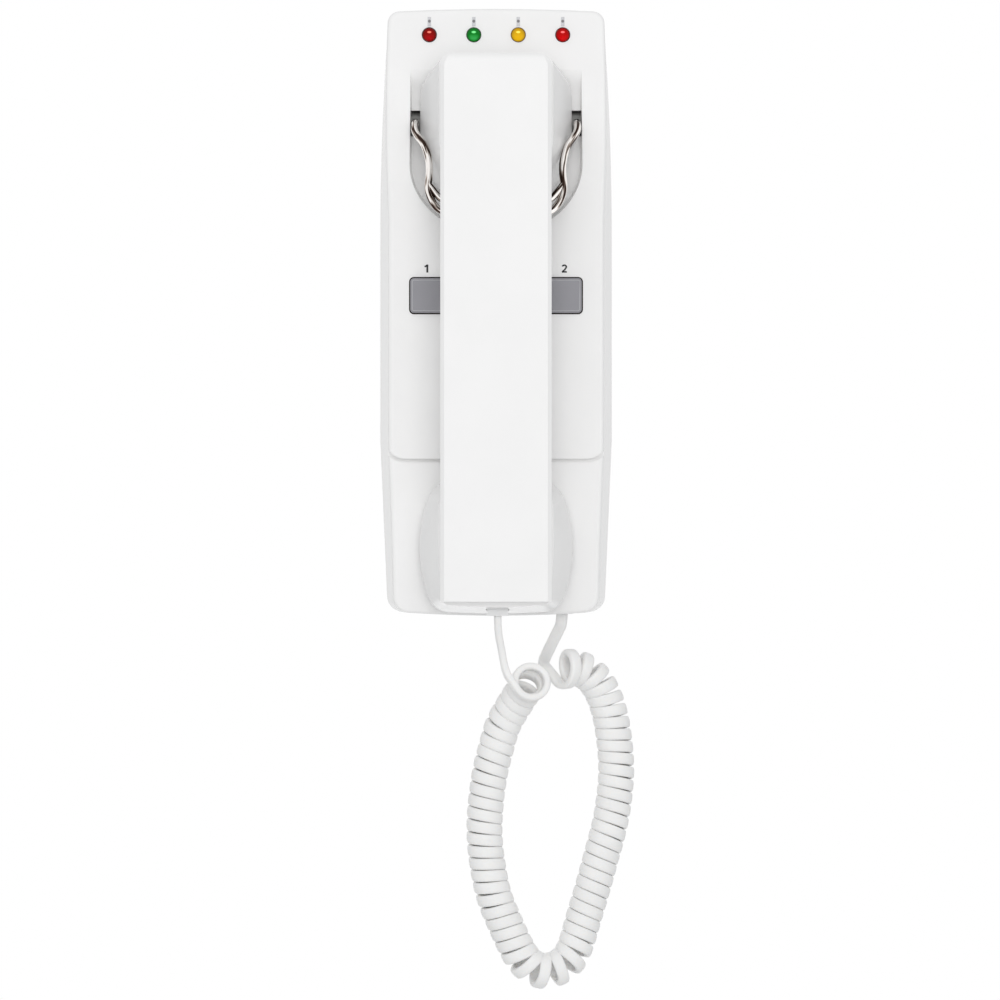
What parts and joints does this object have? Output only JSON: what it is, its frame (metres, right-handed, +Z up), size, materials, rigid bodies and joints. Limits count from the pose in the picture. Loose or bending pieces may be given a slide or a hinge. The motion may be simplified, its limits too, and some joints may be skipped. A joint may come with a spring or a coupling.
{
  "type": "audio intercom handset",
  "caption": "White wall intercom: a handset on a chrome wire hook, with indicator lights, push buttons and a curly cord to the base.",
  "frame": {"origin": "centre of the two wall screw holes, on the wall plane at the back plate's rear face", "axes": "+Z up along the handset, +Y into the wall, -Y the front, +X to the right seen from the front"},
  "size_m": [0.0933, 0.062, 0.3581],
  "materials": {
    "shell_white": "glossy injection-moulded white plastic",
    "plate_white": "satin white plastic",
    "button_grey": "grey moulded plastic",
    "light_dark_red": "dark red lens",
    "light_green": "green lens",
    "light_amber": "amber lens",
    "light_red": "red lens",
    "hook_chrome": "chromed steel wire",
    "rocker_plastic": "nylon",
    "board_green": "solder-masked circuit board",
    "component_black": "black component plastic",
    "terminal_grey": "grey terminal plastic",
    "screw_steel": "zinc-plated steel",
    "ribbon_grey": "grey wire insulation",
    "boot_rubber": "soft black rubber",
    "cord_white": "soft white cord jacket",
    "plug_white": "white moulded plug"
  },
  "bodies": {
    "base": {"back_plate": "plate_white", "base_jack": "component_black", "base_plug": "plug_white", "board_screws": "screw_steel", "call_buzzer": "component_black", "cord_base_tail": "cord_white", "cord_curls": "cord_white", "cord_handset_tail": "cord_white", "cover_screw": "screw_steel", "front_cover": "shell_white", "hook_bush_1": "rocker_plastic", "hook_bush_2": "rocker_plastic", "hook_spring": "screw_steel", "hook_switch": "component_black", "hook_switch_screws": "screw_steel", "indicator_board": "board_green", "indicator_light_1": "light_dark_red", "indicator_light_2": "light_green", "indicator_light_3": "light_amber", "indicator_light_4": "light_red", "indicator_screws": "screw_steel", "main_board": "board_green", "push_switch_1": "component_black", "push_switch_2": "component_black", "ribbon_cable": "ribbon_grey", "terminal_block": "terminal_grey", "terminal_screws": "screw_steel"},
    "handset": {"handset_front_shell": "shell_white", "handset_back_shell": "shell_white", "ear_cap": "shell_white", "mouth_cap": "shell_white", "earpiece_capsule": "component_black", "microphone_boot": "boot_rubber", "microphone_capsule": "component_black", "ballast_weight": "screw_steel", "handset_screws": "screw_steel", "handset_wires": "ribbon_grey", "handset_jack": "component_black", "handset_plug": "plug_white"},
    "hook": {"hook_wire": "hook_chrome", "hook_rocker": "rocker_plastic"},
    "button_1": {"push_button_1": "button_grey", "push_plunger_1": "component_black"},
    "button_2": {"push_button_2": "button_grey", "push_plunger_2": "component_black"}
  },
  "joints": [
    {"name": "handset_lift", "type": "slide", "parent": "base", "child": "handset", "axis": [0, -0.7071, 0.7071], "range_m": [0, 0.07]},
    {"name": "hook_swing", "type": "hinge", "parent": "base", "child": "hook", "pos_m": [0, -0.0095, 0.07], "axis": [-1, 0, 0], "range_deg": [0, 7.5]},
    {"name": "button_1_press", "type": "slide", "parent": "base", "child": "button_1", "axis": [0, 1, 0], "range_m": [0, 0.0012], "stiffness_N_per_m": 400, "springref_m": -0.001},
    {"name": "button_2_press", "type": "slide", "parent": "base", "child": "button_2", "axis": [0, 1, 0], "range_m": [0, 0.0012], "stiffness_N_per_m": 400, "springref_m": -0.001}
  ],
  "couplings": [
    {"joint": "hook_swing", "follows": "handset_lift", "rad_per_m": 1.745}
  ]
}
